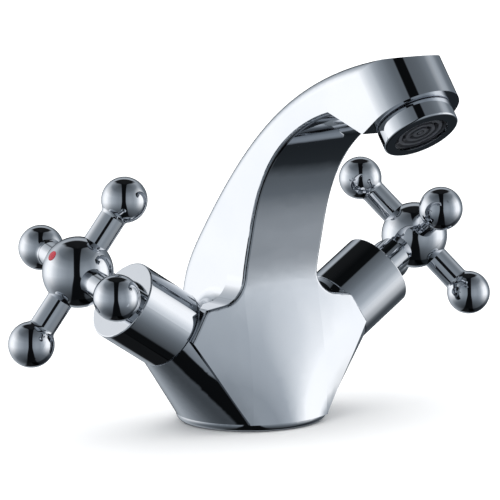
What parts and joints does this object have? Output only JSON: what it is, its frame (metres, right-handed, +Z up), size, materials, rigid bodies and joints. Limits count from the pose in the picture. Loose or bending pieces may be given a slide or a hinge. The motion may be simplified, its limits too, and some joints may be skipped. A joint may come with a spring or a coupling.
{
  "type": "two-handle basin mixer faucet",
  "caption": "Swan-neck basin mixer with angled arms, ball-ended cross handles, inner compression valves and a screw-in aerator.",
  "frame": {"origin": "centre of the body's round underside, on the deck plane", "axes": "+Z up from the deck; the spout points along -Y; hot handle at -X, cold handle at +X"},
  "size_m": [0.1849, 0.1342, 0.1291],
  "materials": {
    "chrome": "bright chrome plate on cast brass",
    "chrome_handle": "bright chrome plate on die-cast zinc",
    "chrome_shroud": "bright chrome plate on turned brass",
    "chrome_aerator": "bright chrome plate on turned brass",
    "brass": "machined",
    "rubber": "matt",
    "fibre": "matt vulcanised fibre",
    "steel": "plain stainless steel",
    "grey_plastic": "moulded, satin",
    "red_plastic": "glossy",
    "blue_plastic": "glossy"
  },
  "bodies": {
    "body": {"faucet_body": "chrome", "base_seal": "rubber", "aerator_housing": "chrome_aerator", "aerator_insert": "grey_plastic", "aerator_screen": "steel", "aerator_washer": "rubber", "headwork_body_hot": "brass", "headwork_washer_hot": "fibre", "bonnet_shroud_hot": "chrome_shroud", "headwork_body_cold": "brass", "headwork_washer_cold": "fibre", "bonnet_shroud_cold": "chrome_shroud"},
    "handle_hot": {"cross_handle_hot": "chrome_handle", "spindle_hot": "brass", "spindle_o_rings_hot": "rubber", "spindle_circlip_hot": "steel", "handle_screw_hot": "steel", "index_button_hot": "red_plastic"},
    "jumper_hot": {"jumper_hot": "brass", "jumper_washer_hot": "rubber", "jumper_screw_hot": "steel"},
    "handle_cold": {"cross_handle_cold": "chrome_handle", "spindle_cold": "brass", "spindle_o_rings_cold": "rubber", "spindle_circlip_cold": "steel", "handle_screw_cold": "steel", "index_button_cold": "blue_plastic"},
    "jumper_cold": {"jumper_cold": "brass", "jumper_washer_cold": "rubber", "jumper_screw_cold": "steel"}
  },
  "joints": [
    {"name": "handle_hot_turn", "type": "hinge", "parent": "body", "child": "handle_hot", "pos_m": [0, -0.002, 0.0121], "axis": [-0.8434, 0, 0.5373], "range_deg": [0, 1080]},
    {"name": "jumper_hot_lift", "type": "slide", "parent": "body", "child": "jumper_hot", "axis": [-0.8434, 0, 0.5373], "range_m": [0, 0.0045]},
    {"name": "handle_cold_turn", "type": "hinge", "parent": "body", "child": "handle_cold", "pos_m": [0, -0.002, 0.0121], "axis": [0.8434, 0, 0.5373], "range_deg": [0, 1080]},
    {"name": "jumper_cold_lift", "type": "slide", "parent": "body", "child": "jumper_cold", "axis": [0.8434, 0, 0.5373], "range_m": [0, 0.0045]}
  ],
  "couplings": [
    {"joint": "jumper_hot_lift", "follows": "handle_hot_turn", "m_per_rad": 0.00023873},
    {"joint": "jumper_cold_lift", "follows": "handle_cold_turn", "m_per_rad": 0.00023873}
  ]
}
